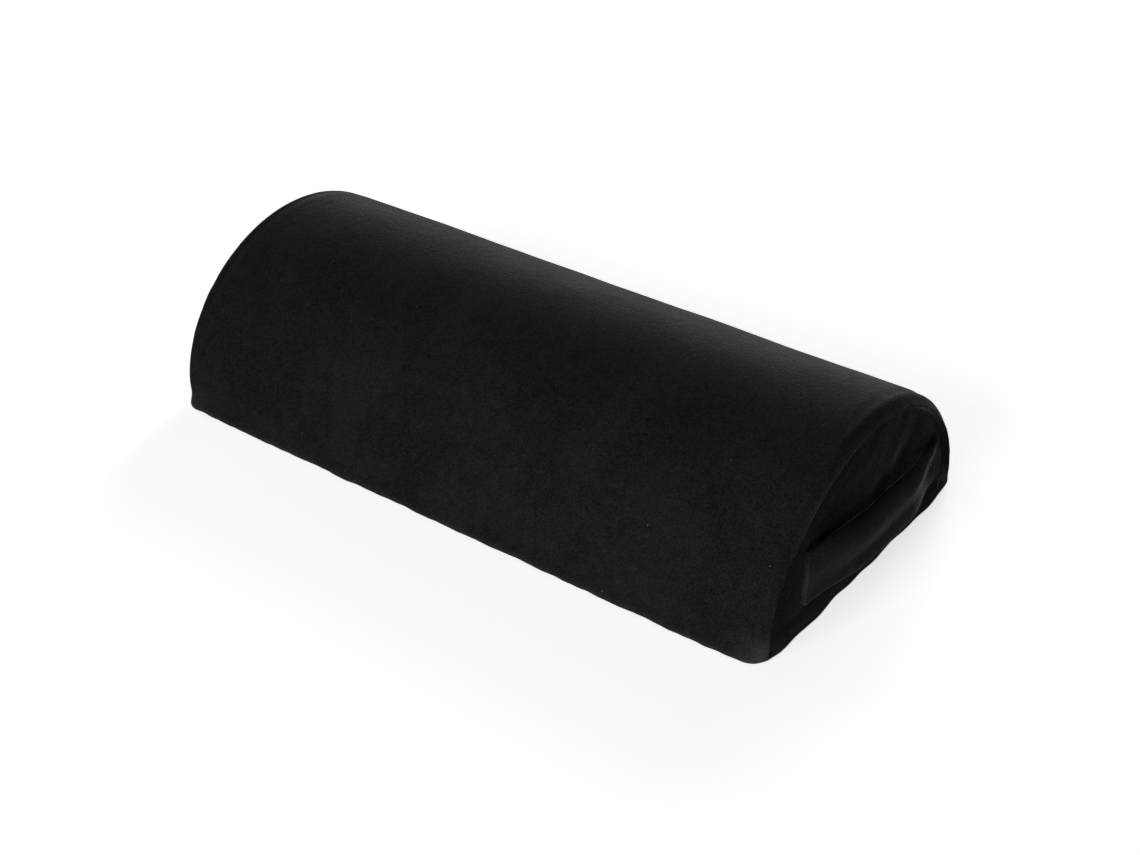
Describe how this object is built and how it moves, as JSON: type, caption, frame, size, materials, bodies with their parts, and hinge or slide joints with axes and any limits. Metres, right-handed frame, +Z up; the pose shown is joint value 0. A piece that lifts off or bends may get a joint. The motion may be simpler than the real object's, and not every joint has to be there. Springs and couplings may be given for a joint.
{
  "type": "bolster pillow",
  "caption": "Half-moon bolster pillow with a flat base, an arched top, a zipped pile cover over a foam core and a carry strap sewn across one end.",
  "frame": {"origin": "centre of the flat base, where it rests", "axes": "+Z up, X along the bolster with the carry strap on the +X end, +Y towards the wall with the zip"},
  "size_m": [0.4379, 0.2101, 0.101],
  "materials": {
    "pile_cloth": "black short-pile velour, soft and matt with a faint sheen",
    "base_cloth": "black velour on the underside",
    "liner_cloth": "thin off-white woven fabric",
    "foam": "cut polyurethane foam, open cell",
    "zip_tape": "black woven zip tape",
    "zip_coil": "black nylon coil",
    "zip_metal": "black enamelled zinc",
    "strap_cloth": "black velour strap, folded and sewn",
    "thread": "black polyester sewing thread"
  },
  "bodies": {
    "cushion": {"cover_top": "pile_cloth", "cover_end_left": "pile_cloth", "cover_end_right": "pile_cloth", "cover_zip_facing": "pile_cloth", "cover_base": "base_cloth", "foam_core": "foam", "liner_top": "liner_cloth", "liner_base": "liner_cloth", "liner_end_left": "liner_cloth", "liner_end_right": "liner_cloth", "strap_patch_front": "liner_cloth", "strap_patch_rear": "liner_cloth", "zip_tape_upper": "zip_tape", "zip_tape_lower": "zip_tape", "zip_coil_upper": "zip_coil", "zip_coil_lower": "zip_coil", "zip_top_stop_upper": "zip_metal", "zip_top_stop_lower": "zip_metal", "zip_bottom_stop": "zip_metal", "strap_end_front": "strap_cloth", "strap_end_rear": "strap_cloth", "strap_stitching_front": "thread", "strap_stitching_rear": "thread"},
    "zip_runner": {"zip_slider": "zip_metal"},
    "zip_pull": {"zip_pull_tab": "zip_metal"},
    "handle": {"handle_strap": "strap_cloth"}
  },
  "joints": [
    {"name": "zip_slide", "type": "slide", "parent": "cushion", "child": "zip_runner", "axis": [-1, 0, 0], "range_m": [0, 0.341]},
    {"name": "zip_pull_swing", "type": "hinge", "parent": "zip_runner", "child": "zip_pull", "pos_m": [0.1707, 0.1049, 0.012], "axis": [0, 0, -1], "range_deg": [0, 170]},
    {"name": "handle_swing", "type": "hinge", "parent": "cushion", "child": "handle", "pos_m": [0.21945, 0, 0.03367], "axis": [0, 1, 0], "range_deg": [-20, 20], "stiffness_Nm_per_rad": 0.01}
  ]
}
